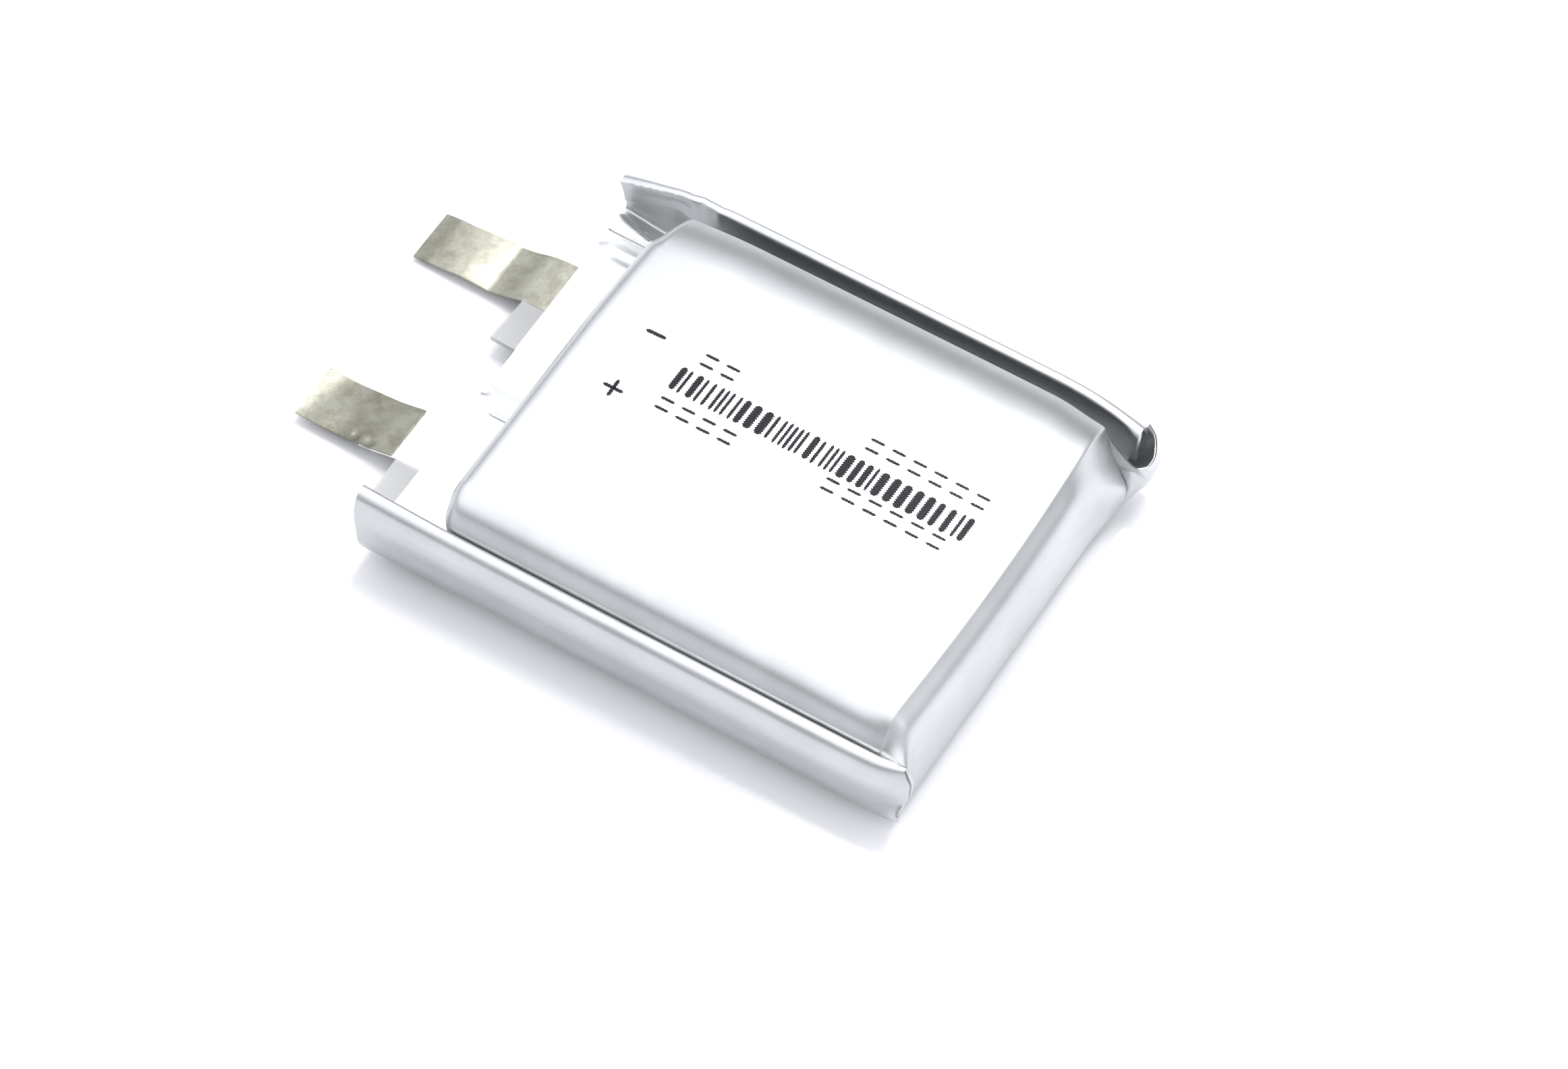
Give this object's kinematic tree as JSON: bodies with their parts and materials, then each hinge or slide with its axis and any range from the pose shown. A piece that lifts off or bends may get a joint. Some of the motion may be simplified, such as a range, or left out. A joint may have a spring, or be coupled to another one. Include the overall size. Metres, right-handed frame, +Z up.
{
  "type": "pouch battery cell",
  "caption": "Flat lithium-polymer pouch cell with hemmed side folds, a sealed terrace and flat tabs in clear sealant films that bend up for welding.",
  "frame": {"origin": "on the flat underside, at the middle of the pouch's length and width", "axes": "+Z up through the thickness to the printed face, +Y out along the tabs, +X to the negative tab's side"},
  "size_m": [0.026, 0.0392, 0.008],
  "materials": {
    "pouch_foil": "satin heat-seal laminate, nylon outside",
    "nickel": "dull nickel, slightly tarnished",
    "tab_aluminium": "bright, knurled by the weld",
    "sealant_film": "translucent white film",
    "anode_coating": "matt graphite coating on copper foil",
    "cathode_coating": "matt oxide coating on aluminium foil",
    "separator": "matt white porous film",
    "copper_foil": "bare copper foil",
    "aluminium_foil": "bare aluminium foil",
    "tape": "thin green polyester tape"
  },
  "bodies": {
    "pouch": {"cup_shell": "pouch_foil", "back_sheet": "pouch_foil", "bottom_fold": "pouch_foil", "top_seal_upper": "pouch_foil", "top_seal_lower": "pouch_foil", "side_seal_left": "pouch_foil", "side_seal_right": "pouch_foil", "negative_tab_root": "nickel", "positive_tab_root": "tab_aluminium", "negative_film_upper": "sealant_film", "negative_film_lower": "sealant_film", "positive_film_upper": "sealant_film", "positive_film_lower": "sealant_film", "anode_sheet": "anode_coating", "cathode_sheet": "cathode_coating", "separator_inner": "separator", "separator_outer": "separator", "winding_end_tape": "tape", "negative_tab_tape": "tape", "positive_tab_tape": "tape", "anode_foil_tail": "copper_foil", "cathode_foil_tail": "aluminium_foil"},
    "negative_tab": {"negative_tab_end": "nickel"},
    "positive_tab": {"positive_tab_stub": "tab_aluminium", "positive_tab_strip": "nickel"}
  },
  "joints": [
    {"name": "negative_tab_bend", "type": "hinge", "parent": "pouch", "child": "negative_tab", "pos_m": [0.00657, 0.0171, 0.00136], "axis": [1, 0, 0], "range_deg": [0, 90]},
    {"name": "positive_tab_bend", "type": "hinge", "parent": "pouch", "child": "positive_tab", "pos_m": [-0.00553, 0.0171, 0.00136], "axis": [1, 0, 0], "range_deg": [0, 90]}
  ]
}
